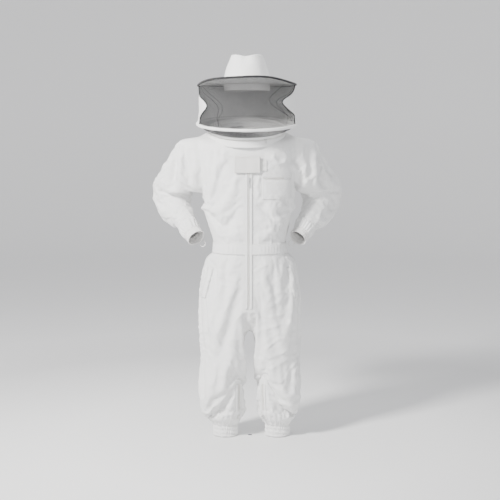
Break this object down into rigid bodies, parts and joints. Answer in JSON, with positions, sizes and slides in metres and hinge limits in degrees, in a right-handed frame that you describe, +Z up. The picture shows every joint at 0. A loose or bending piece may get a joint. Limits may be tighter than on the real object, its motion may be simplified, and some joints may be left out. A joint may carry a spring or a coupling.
{
  "type": "beekeeping suit",
  "caption": "One-piece white beekeeping suit with a zip-on round veil, brimmed hat, front zip, elastic cuffs and jointed limbs.",
  "frame": {"origin": "on the ground plane that both ankle hems touch, on the plane of the crotch, under the front opening line of the trunk axis", "axes": "+Z up, the front faces -Y, +X is the wearer's left; metres in the record"},
  "size_m": [0.824, 0.433, 1.637],
  "materials": {
    "white_twill": "woven cotton twill",
    "white_elastic": "ribbed elastic",
    "net": "open black netting",
    "black_tape": "woven binding tape",
    "zip_tape": "woven zip tape",
    "hook_tape": "hook and loop tape",
    "zip_chain": "moulded teeth",
    "zip_metal": "plated",
    "dark_zip": "moulded",
    "wire": "spring wire",
    "ring_tape": "woven tape and moulded teeth"
  },
  "bodies": {
    "suit": {"bodice": "white_twill", "collar": "white_twill", "waistband": "white_elastic", "seat": "white_twill", "left_shoulder": "white_twill", "right_shoulder": "white_twill", "left_hip": "white_twill", "right_hip": "white_twill", "left_side_pocket": "white_twill", "right_side_pocket": "white_twill", "front_zip_tapes": "zip_tape", "front_zip_chain": "zip_chain", "chest_pocket": "white_twill", "chest_pocket_zip": "zip_tape", "flap_loop_patch": "hook_tape", "hanger_loop": "white_elastic", "ring_zip_lower": "ring_tape"},
    "veil": {"ring_zip_upper": "ring_tape", "skirt_net": "net", "skirt_cloth": "white_twill", "hoop_wire": "wire", "hoop_casing": "white_twill", "veil_net": "net", "veil_cloth": "white_twill"},
    "hat": {"brim": "white_twill", "brim_wire": "wire", "brim_binding": "black_tape", "crown": "white_twill", "sweatband": "white_twill"},
    "ring_slider": {"ring_zip_slider": "dark_zip"},
    "ring_pull": {"ring_zip_pull": "dark_zip"},
    "front_slider": {"front_zip_slider": "zip_metal"},
    "front_pull": {"front_zip_pull": "zip_metal"},
    "flap": {"neck_flap": "white_twill", "flap_hook_patch": "hook_tape"},
    "chest_slider": {"chest_pocket_slider": "zip_metal"},
    "left_upper_arm": {"left_upper_sleeve": "white_twill", "left_elbow": "white_twill"},
    "left_forearm": {"left_lower_sleeve": "white_twill", "left_wrist_cuff": "white_elastic"},
    "left_thumb_loop_band": {"left_thumb_loop": "white_elastic"},
    "left_thigh_part": {"left_thigh": "white_twill", "left_knee": "white_twill"},
    "left_shin_part": {"left_shin": "white_twill", "left_ankle_cuff": "white_elastic", "left_leg_zip": "zip_tape"},
    "left_leg_slider": {"left_leg_zip_slider": "zip_metal"},
    "right_upper_arm": {"right_upper_sleeve": "white_twill", "right_elbow": "white_twill"},
    "right_forearm": {"right_lower_sleeve": "white_twill", "right_wrist_cuff": "white_elastic"},
    "right_thumb_loop_band": {"right_thumb_loop": "white_elastic"},
    "right_thigh_part": {"right_thigh": "white_twill", "right_knee": "white_twill"},
    "right_shin_part": {"right_shin": "white_twill", "right_ankle_cuff": "white_elastic", "right_leg_zip": "zip_tape"},
    "right_leg_slider": {"right_leg_zip_slider": "zip_metal"}
  },
  "joints": [
    {"name": "veil_tip_back", "type": "hinge", "parent": "suit", "child": "veil", "pos_m": [-0.013, 0.15728, 1.35449], "axis": [-1, 0, 0], "range_deg": [0, 60]},
    {"name": "hat_collapse", "type": "slide", "parent": "veil", "child": "hat", "axis": [0, 0, -1], "range_m": [0, 0.085], "stiffness_N_per_m": 120, "springref_m": -0.05, "deforming": ["veil_net", "veil_cloth"]},
    {"name": "ring_zip_slide", "type": "hinge", "parent": "suit", "child": "ring_slider", "pos_m": [-0.013, 0, 1.314], "axis": [0, 0.2588, -0.9659], "range_deg": [0, 300]},
    {"name": "ring_pull_swing", "type": "hinge", "parent": "ring_slider", "child": "ring_pull", "pos_m": [0.06578, -0.14298, 1.27517], "axis": [-0.8829, -0.4535, -0.1215], "range_deg": [0, 80]},
    {"name": "front_zip_slide", "type": "slide", "parent": "suit", "child": "front_slider", "axis": [0, 0, -1], "range_m": [0, 0.5]},
    {"name": "front_pull_swing", "type": "hinge", "parent": "front_slider", "child": "front_pull", "pos_m": [-0.006, -0.1505, 1.116], "axis": [-1, 0, 0], "range_deg": [0, 100]},
    {"name": "flap_lift", "type": "hinge", "parent": "suit", "child": "flap", "pos_m": [-0.011, -0.1463, 1.208], "axis": [-1, 0, 0], "range_deg": [0, 130]},
    {"name": "chest_zip_slide", "type": "hinge", "parent": "suit", "child": "chest_slider", "pos_m": [0.041, 0.08, 1.118], "axis": [0, 0, -1], "range_deg": [0, 20]},
    {"name": "left_shoulder_raise", "type": "hinge", "parent": "suit", "child": "left_upper_arm", "pos_m": [0.201, 0.002, 1.187], "axis": [0, -1, 0], "range_deg": [0, 30], "deforming": ["left_shoulder"]},
    {"name": "left_elbow_open", "type": "hinge", "parent": "left_upper_arm", "child": "left_forearm", "pos_m": [0.331, 0.124, 1.062], "axis": [0.7504, -0.6603, 0.03], "range_deg": [0, 45], "deforming": ["left_elbow"]},
    {"name": "left_thumb_loop_swing", "type": "hinge", "parent": "left_forearm", "child": "left_thumb_loop_band", "pos_m": [0.18504, -0.00376, 0.8462], "axis": [0.7098, 0.0666, -0.7013], "range_deg": [-30, 30]},
    {"name": "left_hip_swing", "type": "hinge", "parent": "suit", "child": "left_thigh_part", "pos_m": [0.115, -0.012, 0.6], "axis": [-1, 0, 0], "range_deg": [-15, 30], "deforming": ["left_hip"]},
    {"name": "left_knee_bend", "type": "hinge", "parent": "left_thigh_part", "child": "left_shin_part", "pos_m": [0.126, -0.004, 0.308], "axis": [1, 0, 0], "range_deg": [0, 45], "deforming": ["left_knee"]},
    {"name": "left_leg_zip_slide", "type": "slide", "parent": "left_shin_part", "child": "left_leg_slider", "axis": [-0.0738, -0.1701, 0.9827], "range_m": [0, 0.132]},
    {"name": "right_shoulder_raise", "type": "hinge", "parent": "suit", "child": "right_upper_arm", "pos_m": [-0.227, 0.002, 1.187], "axis": [0, 1, 0], "range_deg": [0, 30], "deforming": ["right_shoulder"]},
    {"name": "right_elbow_open", "type": "hinge", "parent": "right_upper_arm", "child": "right_forearm", "pos_m": [-0.357, 0.124, 1.062], "axis": [0.7504, 0.6603, -0.03], "range_deg": [0, 45], "deforming": ["right_elbow"]},
    {"name": "right_thumb_loop_swing", "type": "hinge", "parent": "right_forearm", "child": "right_thumb_loop_band", "pos_m": [-0.21104, -0.00376, 0.8462], "axis": [0.7098, -0.0666, 0.7013], "range_deg": [-30, 30]},
    {"name": "right_hip_swing", "type": "hinge", "parent": "suit", "child": "right_thigh_part", "pos_m": [-0.115, -0.012, 0.6], "axis": [-1, 0, 0], "range_deg": [-15, 30], "deforming": ["right_hip"]},
    {"name": "right_knee_bend", "type": "hinge", "parent": "right_thigh_part", "child": "right_shin_part", "pos_m": [-0.126, -0.004, 0.308], "axis": [1, 0, 0], "range_deg": [0, 45], "deforming": ["right_knee"]},
    {"name": "right_leg_zip_slide", "type": "slide", "parent": "right_shin_part", "child": "right_leg_slider", "axis": [0.0522, -0.1703, 0.984], "range_m": [0, 0.132]}
  ]
}
